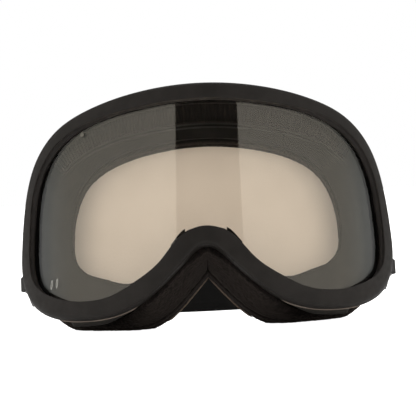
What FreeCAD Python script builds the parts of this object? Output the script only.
import FreeCAD, Part
import math
import os

import Sketcher
from FreeCAD import Placement, Rotation, Vector

# Ski goggles: a double cylindrical lens in a rim, a vented face frame with layered foam, and a strap
# that hangs on two hinged outriggers. Everything is drawn in the goggles' own upright frame: X to the
# right, Y from the lens towards the face, Z up, with the lens's middle near the origin. At the end the
# whole assembly is leaned back onto its cheek foam and its strap, as it stands on a table.

doc = FreeCAD.newDocument("ski_goggles")
sheet = doc.addObject("Spreadsheet::Sheet", "Dimensions")

DIMENSIONS = [
    # rim and lenses
    ("rim_radius", 104.0),           # bend of the rim's front face round a vertical axis
    ("rim_depth", 9.0),
    ("rim_lip", 3.0),                # how far the lens sits behind the rim's front face
    ("lens_thickness", 0.8),
    ("lens_gap", 2.5),               # air gap between the two lenses
    ("lens_tuck", 2.2),              # how far the lens reaches behind the rim's lip
    ("seat_clearance", 0.1),
    # face frame
    ("face_radius", 115.0),          # bend of the face side
    ("flange_front", 28.0),          # front of the foam flange, on the middle plane
    ("flange_back", 30.0),
    ("ledge_thickness", 2.0),        # ring behind the inner lens
    ("vent_pitch", 12.0),
    ("vent_width", 8.0),
    ("vent_depth", 10.0),
    ("vent_margin", 2.5),            # wall left between the ledge and each vent
    ("tab_reach", 1.9),              # lens tabs beside the nose, inwards from the opening
    ("mesh_thickness", 1.5),
    # foam layers, as depths on the middle plane
    ("foam_base_back", 37.0),
    ("foam_mid_back", 42.0),
    ("fleece_back", 44.5),
    # hinge
    ("pin_radius", 1.2),
    ("pin_clearance", 0.05),
    ("hinge_across", 88.4),          # pin axis from the middle plane
    ("hinge_back", 74.0),            # pin axis behind the lens front
    ("hinge_height", -15.5),         # middle of the knuckle
    ("knuckle_radius", 2.3),
    ("knuckle_length", 16.0),
    ("ear_thickness", 6.4),
    ("ear_gap", 0.3),
    ("ear_boss_radius", 4.0),
    ("pin_head", 0.7),               # how far the pin's head stands proud of its shank
    ("pin_head_height", 1.0),
    # outrigger and strap
    ("bar_across", 86.0),            # middle of the strap bar from the middle plane
    ("bar_front", 91.2),
    ("bar_back", 95.0),
    ("plate_thickness", 2.4),
    ("plate_margin", 3.0),           # plate above and below the strap
    ("slot_width", 3.8),
    ("slot_play", 0.4),
    ("strap_width", 46.0),
    ("strap_thickness", 1.6),
    ("strap_height", -5.0),          # middle of the strap
    ("strap_clearance", 0.1),
    ("strap_splice", 97.5),          # where the loop's outer leg becomes the band
    ("strap_straight_end", 130.0),
    ("slider_length", 16.0),
    ("slider_centre", 112.0),
    ("slider_bar", 3.0),
    ("slider_inside", 2.0),          # depth of the bar on the inside of the webbing
    ("slider_outside", 3.2),         # reach of the outer bars from the webbing's inner face
    ("slider_margin", 1.6),          # frame above and below the webbing
    ("slider_play", 0.15),
    # valve in the lens
    ("valve_radius", 1.1),
    ("valve_height", 0.5),
    # how the goggles stand
    ("lean_angle", 13.5),
    ("stand_height", 66.13),         # origin of the upright frame above the table
]

for row, (alias, value) in enumerate(DIMENSIONS, start=1):
    sheet.set("A%d" % row, alias)
    sheet.set("B%d" % row, str(value))
    sheet.setAlias("B%d" % row, alias)
doc.recompute()


def size(alias):
    """A driving dimension, read from the sheet."""
    return float(sheet.get(alias))


# Half outlines seen from the front, as (x, z), from the middle of the brow round to the nose.

RIM_OUTLINE = [
    (0, 51.3), (29, 49.4), (54, 44.5), (70, 37.8), (80.5, 26.5), (86.5, 9.5), (89.4, -12), (89.3, -30),
    (84.2, -42.5), (74.5, -50.6), (60, -54.9), (46.5, -55.3), (33, -51.4), (20.5, -42.7), (9.5, -32.2),
    (0, -26.1),
]
LENS_OPENING = [
    (0, 43.1), (28, 41.4), (54, 36.4), (69.5, 28), (78.5, 13.5), (82.2, -8), (82.8, -25), (79, -37.2),
    (70, -44), (59, -47.1), (47.5, -46.9), (34.8, -41.7), (22, -32.8), (12.5, -22.2), (0, -17.5),
]
FRAME_OUTLINE = [
    (0, 48.4), (30, 46.6), (55, 41.2), (72, 32), (82, 17.5), (86, 1), (87.4, -18), (85.6, -34),
    (78, -44.8), (65, -50.6), (50, -52), (36, -49.6), (22.5, -40.9), (11, -30), (0, -23.5),
]
EYE_PORT = [
    (0, 30.3), (29, 27.6), (44, 23.6), (55.5, 16.5), (62.2, 4.6), (64.6, -12), (63.2, -22), (58.5, -28.3),
    (48.5, -33), (39, -36.2), (32, -34.8), (24, -29), (13, -18.8), (0, -13),
]
FOAM_OUTLINE = [
    (0, 46), (30, 44.3), (54, 39), (70, 29.5), (79.5, 15), (83, -2), (83.5, -20), (80.5, -36),
    (74, -45.5), (64, -53), (48, -56.5), (31, -57.5), (20, -53.2), (10, -44.3), (0, -33.2),
]
NOSE_CREASE = Vector(-1, 0, 1.1)     # direction of the foam's edge where it meets the nose crease
FLAT_END = Vector(-1, 0, 0)


def half_curve(points, end_direction=FLAT_END):
    """Smooth curve through one half outline, level where it crosses the middle plane."""
    curve = Part.BSplineCurve()
    ends = (points[0], points[-1])
    reach = 0.5 * (abs(ends[0][1]) + abs(ends[1][1]))
    curve.interpolate(
        Points=[Vector(x, 0, z) for x, z in points],
        InitialTangent=Vector(reach, 0, 0),
        FinalTangent=Vector(end_direction).normalize() * reach,
    )
    return curve


def mirrored_wire(curve):
    """Closed outline from a right-hand half curve and its mirror image."""
    right = curve.toShape()
    left = right.mirror(Vector(0, 0, 0), Vector(1, 0, 0))
    return Part.Wire(Part.__sortEdges__([right, left]))


def outline(points, grow=0.0, end_direction=FLAT_END):
    """Closed outline through the half points, moved outwards by grow."""
    curve = half_curve(points, end_direction)
    if grow == 0.0:
        return mirrored_wire(curve)
    steps = 4 * len(points)
    first, last = curve.FirstParameter, curve.LastParameter
    moved = []
    for step in range(steps + 1):
        parameter = first + (last - first) * step / steps
        point = curve.value(parameter)
        along = curve.tangent(parameter)[0]
        outwards = Vector(-along.z, 0, along.x)
        moved.append(point + outwards * grow)
    moved[0].x = 0.0
    moved[-1].x = 0.0
    shifted = Part.BSplineCurve()
    shifted.interpolate(Points=moved)
    return mirrored_wire(shifted)


PRISM_START = -20.0
PRISM_LENGTH = 122.0


def prism(wire):
    """The outline carried straight back from before the rim to behind the foam."""
    face = Part.Face(wire)
    face.translate(Vector(0, PRISM_START, 0))
    return face.extrude(Vector(0, PRISM_LENGTH, 0))


def ring(outer_wire, inner_wire):
    return prism(outer_wire).cut(prism(inner_wire))


TALL = 160.0


def bent_space(radius, front):
    """Everything behind a bent surface whose middle line lies at the given depth."""
    return Part.makeCylinder(radius, TALL, Vector(0, front + radius, -TALL / 2))


def lens_space(depth):
    """Everything inside the lens's own bend, at a true thickness behind the rim's front face."""
    radius = size("rim_radius") - depth
    return Part.makeCylinder(radius, TALL, Vector(0, size("rim_radius"), -TALL / 2))


def block(low, high):
    """Box between two corners."""
    corner = Vector(*low)
    return Part.makeBox(high[0] - low[0], high[1] - low[1], high[2] - low[2], corner)


def mirrored(shape):
    return shape.mirror(Vector(0, 0, 0), Vector(1, 0, 0))


nodes = []


def add_node(label, shape):
    """Keep a shape as a named sub-part."""
    feature = doc.addObject("Part::Feature", label)
    feature.Label = label
    feature.Shape = shape.removeSplitter()
    nodes.append(feature)
    return feature


def add_pair(label, right_shape):
    """The same piece on the right and, mirrored, on the left."""
    add_node(label + "_right", right_shape)
    add_node(label + "_left", mirrored(right_shape))


# Depths of the lens stack behind the rim's front face

lens_front = size("rim_lip")
lens_back = lens_front + size("lens_thickness")
inner_lens_front = lens_back + size("lens_gap")
inner_lens_back = inner_lens_front + size("lens_thickness")
ledge_front = inner_lens_back + size("seat_clearance")
ledge_back = ledge_front + size("ledge_thickness")

rim_wire = outline(RIM_OUTLINE)
opening_wire = outline(LENS_OPENING)
seat_wire = outline(LENS_OPENING, size("lens_tuck"))
lens_wire = outline(LENS_OPENING, size("lens_tuck") - size("seat_clearance"))
frame_wire = outline(FRAME_OUTLINE)
port_wire = outline(EYE_PORT)
flange_port_wire = outline(EYE_PORT, 1.0)
foam_wire = outline(FOAM_OUTLINE, 0.0, NOSE_CREASE)

rim_front = bent_space(size("rim_radius"), 0)
rim_back = bent_space(size("rim_radius"), size("rim_depth"))
flange_front = bent_space(size("face_radius"), size("flange_front"))
flange_back = bent_space(size("face_radius"), size("flange_back"))


def build_rim():
    lip = ring(rim_wire, opening_wire).common(rim_front.cut(lens_space(lens_front - 0.02)))
    wall = ring(rim_wire, seat_wire).common(rim_front.cut(rim_back))
    return lip.fuse(wall).removeSplitter()


def build_lens(front, back):
    return prism(lens_wire).common(lens_space(front).cut(lens_space(back)))


def build_spacer():
    return ring(lens_wire, opening_wire).common(lens_space(lens_back).cut(lens_space(inner_lens_front)))


def bent_depth(radius, front, across):
    """Depth of a bent surface at a distance across from the middle."""
    return front + radius - math.sqrt(radius ** 2 - across ** 2)


def vent_cutter(across, low, high):
    """One vent slot through the frame's wall, between two heights."""
    start = bent_depth(size("rim_radius"), ledge_back, abs(across)) + size("vent_margin")
    half = size("vent_width") / 2
    return block((across - half, start, low), (across + half, start + size("vent_depth"), high))


BROW_VENTS = 9
CHEEK_VENTS = 3
CHEEK_VENT_START = 38.0

LUG_INSIDE = 84.6                    # the lugs' root in the frame's side wall
LUG_FRONT = 56.0
LUG_FRONT_ACROSS = 87.4


def plan_solid(points, low, high):
    """Polygon drawn in plan, as (across, back), extruded between two heights."""
    corners = [Vector(x, y, low) for x, y in points]
    face = Part.Face(Part.makePolygon(corners + [corners[0]]))
    return face.extrude(Vector(0, 0, high - low))


def build_ears():
    """Two lugs on the right side that hold the hinge pin. The lower one carries a round boss."""
    across = size("hinge_across")
    back = size("hinge_back")
    half = size("knuckle_length") / 2 + size("ear_gap")
    thick = size("ear_thickness")
    behind_rim = bent_space(size("rim_radius"), size("rim_depth") + 1.0)
    lugs = []
    for low, radius in ((-half - thick, size("ear_boss_radius")), (half, size("knuckle_radius"))):
        base = size("hinge_height") + low
        plan = [(LUG_INSIDE, LUG_FRONT), (LUG_FRONT_ACROSS, LUG_FRONT), (across + radius, back),
                (LUG_INSIDE, back)]
        web = plan_solid(plan, base, base + thick)
        boss = Part.makeCylinder(radius, thick, Vector(across, back, base))
        lugs.append(web.common(behind_rim).fuse(boss))
    bore = Part.makeCylinder(
        size("pin_radius"), 3 * size("knuckle_length"),
        Vector(across, back, size("hinge_height") - 1.5 * size("knuckle_length")),
    )
    return lugs[0].fuse(lugs[1]).cut(bore)


NOSE_TAB = [(9.6, -15), (17.4, -22.5), (15.4, -28), (10.4, -28)]


def build_nose_tabs(ledge_shell):
    """Two small tabs of the ledge that hold the lens beside the nose."""
    strip = ring(opening_wire, outline(LENS_OPENING, -size("tab_reach"))).common(ledge_shell)
    corners = [Vector(x, PRISM_START, z) for x, z in NOSE_TAB]
    side = Part.Face(Part.makePolygon(corners + [corners[0]])).extrude(Vector(0, PRISM_LENGTH, 0))
    right = strip.common(side)
    return [right, mirrored(right)]


def build_face_frame():
    wall = ring(frame_wire, seat_wire).common(rim_back.cut(flange_back))
    ledge_shell = lens_space(ledge_front).cut(lens_space(ledge_back))
    ledge = ring(seat_wire, opening_wire).common(ledge_shell)
    flange = ring(frame_wire, flange_port_wire).common(flange_front.cut(flange_back))
    frame = wall.fuse([ledge, flange] + build_nose_tabs(ledge_shell))
    first = -(BROW_VENTS - 1) / 2
    for number in range(BROW_VENTS):
        frame = frame.cut(vent_cutter((first + number) * size("vent_pitch"), 30.0, 60.0))
    for number in range(CHEEK_VENTS):
        across = CHEEK_VENT_START + number * size("vent_pitch")
        frame = frame.cut(vent_cutter(across, -60.0, -44.0))
        frame = frame.cut(vent_cutter(-across, -60.0, -44.0))
    ears = build_ears()
    return frame.fuse([ears, mirrored(ears)])


def build_mesh(low, high):
    """Vent mesh: a thin strip that lines the inside of the frame's wall within a box."""
    lining = ring(outline(LENS_OPENING, size("lens_tuck") - 0.1),
                  outline(LENS_OPENING, size("lens_tuck") - size("mesh_thickness")))
    between = lens_space(ledge_back + 0.1).cut(bent_space(size("face_radius"), size("flange_front") - 0.1))
    return lining.common(between).common(block(low, high))


def table_cutter():
    """Everything below the table top, in the upright frame."""
    lean = math.radians(size("lean_angle"))
    below = Part.makeBox(400, 400, 200, Vector(-200, -200, -200))
    below.Placement = Placement(
        Vector(0, math.sin(lean), -math.cos(lean)) * size("stand_height"),
        Rotation(Vector(1, 0, 0), size("lean_angle")),
    )
    return below


table = table_cutter()


def build_foam(front, back):
    """One foam layer, from the eye port to the outline, pressed flat where it meets the table."""
    layer = ring(foam_wire, port_wire)
    bend = size("face_radius")
    return layer.common(bent_space(bend, front).cut(bent_space(bend, back))).cut(table)


FLAP_FRONT = 8.0
FLAP_BACK = 36.0
FLAP_TOP = [(0.15, -23.8), (11, -30.4), (22.5, -41.3), (31, -47.9)]
FLAP_FRONT_EDGE = [(31, -51), (22, -45.6), (11, -35), (0.15, -27.6)]
FLAP_BACK_EDGE = [(31, -57.2), (20, -53.2), (10, -44.3), (0.15, -33.2)]


def flap_profile(depth, lower_edge):
    """Section of the right nose flap at one depth: two smooth edges joined by straight ends."""
    top = Part.BSplineCurve()
    top.interpolate(Points=[Vector(x, depth, z) for x, z in FLAP_TOP])
    bottom = Part.BSplineCurve()
    bottom.interpolate(Points=[Vector(x, depth, z) for x, z in lower_edge])
    sides = [
        Part.LineSegment(top.EndPoint, bottom.StartPoint).toShape(),
        Part.LineSegment(bottom.EndPoint, top.StartPoint).toShape(),
    ]
    return Part.Wire([top.toShape(), sides[0], bottom.toShape(), sides[1]])


def build_nose_flap():
    sections = [flap_profile(FLAP_FRONT, FLAP_FRONT_EDGE), flap_profile(FLAP_BACK, FLAP_BACK_EDGE)]
    wedge = Part.makeLoft(sections, True, True)
    front = bent_space(size("rim_radius"), size("rim_depth") + 0.3)
    back = bent_space(size("face_radius"), size("flange_back") - 0.1)
    under_frame = prism(outline(FRAME_OUTLINE, 0.2))
    return wedge.common(front.cut(back)).cut(under_frame).cut(table)


SIDE_NEAR = 60.0                     # reach of the cutters for the right-hand side
SIDE_FAR = 120.0


def build_outrigger():
    """Arm of the strap: a knuckle on the pin, a plate that widens, and a slot with its strap bar."""
    across = size("hinge_across")
    back = size("hinge_back")
    bar = size("bar_across")
    half = size("plate_thickness") / 2
    end = size("bar_back")
    plate_half = size("strap_width") / 2 + size("plate_margin")
    plate_top = size("strap_height") + plate_half
    plate_low = size("strap_height") - plate_half
    knuckle_top = size("hinge_height") + size("knuckle_length") / 2
    knuckle_low = size("hinge_height") - size("knuckle_length") / 2
    plan = [(across - half, back), (across + half, back), (bar + half, back + 9), (bar + half, end),
            (bar - half, end), (bar - half, back + 9)]
    plate = plan_solid(plan, plate_low, plate_top)
    clear = back + size("ear_boss_radius") + 0.8
    side = [(back, knuckle_low), (back, knuckle_top), (clear, knuckle_top), (back + 10, plate_top),
            (end, plate_top), (end, plate_low), (back + 10, plate_low), (clear, knuckle_low)]
    corners = [Vector(SIDE_NEAR, y, z) for y, z in side]
    side_face = Part.Face(Part.makePolygon(corners + [corners[0]]))
    plate = plate.common(side_face.extrude(Vector(SIDE_FAR - SIDE_NEAR, 0, 0)))
    slot_half = size("strap_width") / 2 + size("slot_play")
    slot = block((SIDE_NEAR, size("bar_front") - size("slot_width"), size("strap_height") - slot_half),
                 (SIDE_FAR, size("bar_front"), size("strap_height") + slot_half))
    foot = Vector(across, back, knuckle_low)
    knuckle = Part.makeCylinder(size("knuckle_radius"), size("knuckle_length"), foot)
    hole = Part.makeCylinder(size("pin_radius") + size("pin_clearance"), 3 * size("knuckle_length"),
                             Vector(across, back, knuckle_low - size("knuckle_length")))
    return plate.cut(slot).fuse(knuckle).cut(hole)


def strap_edges():
    half = size("strap_width") / 2
    return size("strap_height") - half, size("strap_height") + half


def build_strap_loop():
    """The webbing's turn round the strap bar: an outer leg, a bend in the slot and an inner leg."""
    low, high = strap_edges()
    bar = size("bar_across")
    gap = size("plate_thickness") / 2 + size("strap_clearance")
    thick = size("strap_thickness")
    turn = size("bar_front") - 0.2
    tail = size("slider_centre") + size("slider_length") / 2 + 2.0
    outer = block((bar + gap, turn, low), (bar + gap + thick, size("strap_splice"), high))
    inner = block((bar - gap - thick, turn, low), (bar - gap, tail, high))
    bend = Part.makeCylinder(gap + thick, high - low, Vector(bar, turn, low))
    bend = bend.cut(Part.makeCylinder(gap, high - low, Vector(bar, turn, low)))
    bend = bend.common(block((SIDE_NEAR, turn - 10, low), (SIDE_FAR, turn, high)))
    return outer.fuse([inner, bend])


def strap_plan(across, rear):
    """Plan of the strap's loop: straight sides and a half ellipse round the back."""
    straight_end = size("strap_straight_end")
    ellipse = Part.Ellipse(Vector(0, straight_end, 0), across, rear - straight_end)
    back = Part.Arc(ellipse, 0, math.pi).toShape()
    front_left = Vector(-across, size("strap_splice"), 0)
    front_right = Vector(across, size("strap_splice"), 0)
    sides = [
        Part.LineSegment(Vector(-across, straight_end, 0), front_left).toShape(),
        Part.LineSegment(front_left, front_right).toShape(),
        Part.LineSegment(front_right, Vector(across, straight_end, 0)).toShape(),
    ]
    return Part.Face(Part.Wire([back] + sides))


def build_strap_band():
    """The webbing's long run round the back. Its rear lower edge rests on the table."""
    low, high = strap_edges()
    lean = math.radians(size("lean_angle"))
    rear = (low * math.cos(lean) + size("stand_height")) / math.sin(lean)
    inside = size("bar_across") + size("plate_thickness") / 2 + size("strap_clearance")
    outside = inside + size("strap_thickness")
    outer = strap_plan(outside, rear)
    inner = strap_plan(inside, rear - size("strap_thickness"))
    band = outer.cut(inner)
    band.translate(Vector(0, 0, low))
    return band.extrude(Vector(0, 0, high - low))


def bind(feature, **expressions):
    """Tie a feature's properties to cells of the sheet."""
    for prop, expression in expressions.items():
        feature.setExpression(prop, expression)


CELL = "Dimensions."
WEBBING_INSIDE = "(%sbar_across + %splate_thickness / 2 + %sstrap_clearance)" % (CELL, CELL, CELL)


def sheet_slab(name, sign, near, far, start, length, height):
    """Part::Box across the webbing on one side, with its size and corner tied to the sheet.

    near and far are measured outwards from the webbing's inner face, start and length from front to back,
    and the height is centred on the strap.
    """
    box = doc.addObject("Part::Box", name)
    across = WEBBING_INSIDE + " + " + near
    if sign < 0:
        across = "-%s - (%s)" % (WEBBING_INSIDE, far)
    bind(box, Length="%s - (%s)" % (far, near), Width=length, Height=height)
    box.setExpression("Placement.Base.x", across)
    box.setExpression("Placement.Base.y", start)
    box.setExpression("Placement.Base.z", "%sstrap_height - (%s) / 2" % (CELL, height))
    return box


def build_slider(side, sign):
    """Three-bar slider round the strap: two bars outside the webbing and one inside it."""
    length = CELL + "slider_length"
    bar = CELL + "slider_bar"
    front = "(%sslider_centre - %s / 2)" % (CELL, length)
    wide = "%sstrap_width + 2 * %sslider_margin" % (CELL, CELL)
    window = "%sstrap_width + 0.8" % CELL
    inside = "-" + CELL + "slider_inside"
    outside = CELL + "slider_outside"
    play = CELL + "slider_play"
    beyond = "(%sstrap_thickness + %s)" % (CELL, play)
    rest = "((%s - %s) / 2)" % (length, bar)
    body = sheet_slab("slider_block_" + side, sign, inside, outside, front, length, wide)
    channel = sheet_slab("slider_channel_" + side, sign, "-" + play, beyond,
                         front + " - 1", length + " + 2", window)
    outer = sheet_slab("slider_window_" + side, sign, beyond + " - 0.05", outside + " + 0.2",
                       front + " + " + bar, length + " - 2 * " + bar, window)
    ahead = sheet_slab("slider_inner_front_" + side, sign, inside + " - 0.5", play,
                       front + " - 0.5", rest + " + 0.5", window)
    behind = sheet_slab("slider_inner_back_" + side, sign, inside + " - 0.5", play,
                        front + " + " + rest + " + " + bar, rest + " + 0.5", window)
    tool = doc.addObject("Part::MultiFuse", "slider_cutters_" + side)
    tool.Shapes = [channel, outer, ahead, behind]
    cut = doc.addObject("Part::Cut", "slider_" + side)
    cut.Base = body
    cut.Tool = tool
    cut.Label = "slider_" + side
    nodes.append(cut)


def origin_plane(body, role):
    return next(item for item in body.Origin.OriginFeatures if item.Role == role)


def build_pin(side, sign):
    """Headed hinge pin, turned round its own axis: a sketch of half its section, revolved."""
    body = doc.addObject("PartDesign::Body", "hinge_pin_" + side)
    body.Label = "hinge_pin_" + side
    sketch = body.newObject("Sketcher::SketchObject", "pin_section_" + side)
    sketch.AttachmentSupport = [(origin_plane(body, "XZ_Plane"), "")]
    sketch.MapMode = "FlatFace"
    shank = size("pin_radius")
    wide = shank + size("pin_head")
    low = size("pin_head_height")
    high = low + size("knuckle_length") + 2 * size("ear_thickness") + 2 * size("ear_gap")
    corners = [(0, 0), (wide, 0), (wide, low), (shank, low), (shank, high), (0, high)]
    for number, start in enumerate(corners):
        end = corners[(number + 1) % len(corners)]
        sketch.addGeometry(Part.LineSegment(Vector(start[0], start[1], 0), Vector(end[0], end[1], 0)), False)
    count = len(corners)
    for number in range(count):
        sketch.addConstraint(Sketcher.Constraint("Coincident", number, 2, (number + 1) % count, 1))
    for number in (0, 2, 4):
        sketch.addConstraint(Sketcher.Constraint("Horizontal", number))
    for number in (1, 3, 5):
        sketch.addConstraint(Sketcher.Constraint("Vertical", number))
    sketch.addConstraint(Sketcher.Constraint("Coincident", 0, 1, -1, 1))
    reach = CELL + "knuckle_length + 2 * " + CELL + "ear_thickness + 2 * " + CELL + "ear_gap"
    driven = [
        (("DistanceX", 0, 1, 0, 2, wide), CELL + "pin_radius + " + CELL + "pin_head"),
        (("DistanceY", 1, 1, 1, 2, low), CELL + "pin_head_height"),
        (("DistanceX", 4, 2, 4, 1, shank), CELL + "pin_radius"),
        (("DistanceY", 3, 1, 3, 2, high - low), reach),
    ]
    for values, expression in driven:
        index = sketch.addConstraint(Sketcher.Constraint(*values))
        sketch.setExpression("Constraints[%d]" % index, expression)
    turn = body.newObject("PartDesign::Revolution", "pin_turned_" + side)
    turn.Profile = sketch
    turn.ReferenceAxis = (sketch, ["V_Axis"])
    turn.Angle = 360.0
    base = size("hinge_height") - size("knuckle_length") / 2 - size("ear_gap") - size("ear_thickness")
    foot = Vector(sign * size("hinge_across"), size("hinge_back"), base - size("pin_head_height"))
    body.Placement = Placement(foot, Rotation())
    nodes.append(body)


VALVE_ACROSS = -56.5
VALVE_UP = 33.8


def build_valve():
    """Small round pressure valve that stands on the lens near the brow."""
    lens_radius = size("rim_radius") - lens_front
    angle = math.asin(VALVE_ACROSS / lens_radius)
    outwards = Vector(math.sin(angle), -math.cos(angle), 0)
    foot = Vector(0, size("rim_radius"), VALVE_UP) + outwards * (lens_radius + 0.02)
    valve = Part.makeCylinder(size("valve_radius"), size("valve_height"), foot, outwards)
    return valve.makeFillet(0.2, [valve.Edges[0]])


add_node("rim", build_rim())
add_node("outer_lens", build_lens(lens_front, lens_back))
add_node("lens_spacer", build_spacer())
add_node("inner_lens", build_lens(inner_lens_front, inner_lens_back))
add_node("lens_valve", build_valve())
add_node("face_frame", build_face_frame())
add_node("brow_vent_mesh", build_mesh((-57, 0, 30), (57, 60, 60)))
add_pair("cheek_vent_mesh", build_mesh((33, 0, -60), (68, 60, -36)))
add_node("foam_base", build_foam(size("flange_back"), size("foam_base_back")))
add_node("foam_middle", build_foam(size("foam_base_back"), size("foam_mid_back")))
add_node("face_fleece", build_foam(size("foam_mid_back"), size("fleece_back")))
add_pair("nose_flap", build_nose_flap())
add_pair("outrigger", build_outrigger())
add_pair("strap_loop", build_strap_loop())
add_node("strap_band", build_strap_band())
for side_name, side_sign in (("right", 1), ("left", -1)):
    build_slider(side_name, side_sign)
    build_pin(side_name, side_sign)
doc.recompute()

# Stand the assembly on the table, centred front to back.

lean_back = Placement(Vector(0, 0, size("stand_height")), Rotation(Vector(1, 0, 0), -size("lean_angle")))


def placed_box(placement):
    box = FreeCAD.BoundBox()
    for node in nodes:
        shape = node.Shape.copy()
        shape.Placement = placement.multiply(shape.Placement)
        box.add(shape.optimalBoundingBox(False))
    return box


leaning = placed_box(lean_back)
stand = Placement(Vector(0, -leaning.Center.y, 0), Rotation()).multiply(lean_back)
for node in nodes:
    node.Placement = stand.multiply(node.Placement)
doc.recompute()

for item in doc.Objects:
    if "Invalid" in item.State or "Error" in item.State:
        raise RuntimeError("%s did not build: %s" % (item.Name, item.State))
for node in nodes:
    if node.Shape.isNull() or not node.Shape.isValid():
        raise RuntimeError("%s has no valid shape" % node.Label)

os.makedirs("parts", exist_ok=True)
for node in nodes:
    node.Shape.exportStep("parts/%s.step" % node.Label)

standing = placed_box(Placement())
print("nodes", len(nodes))
print("box", standing)
print("stand offset", stand.Base)
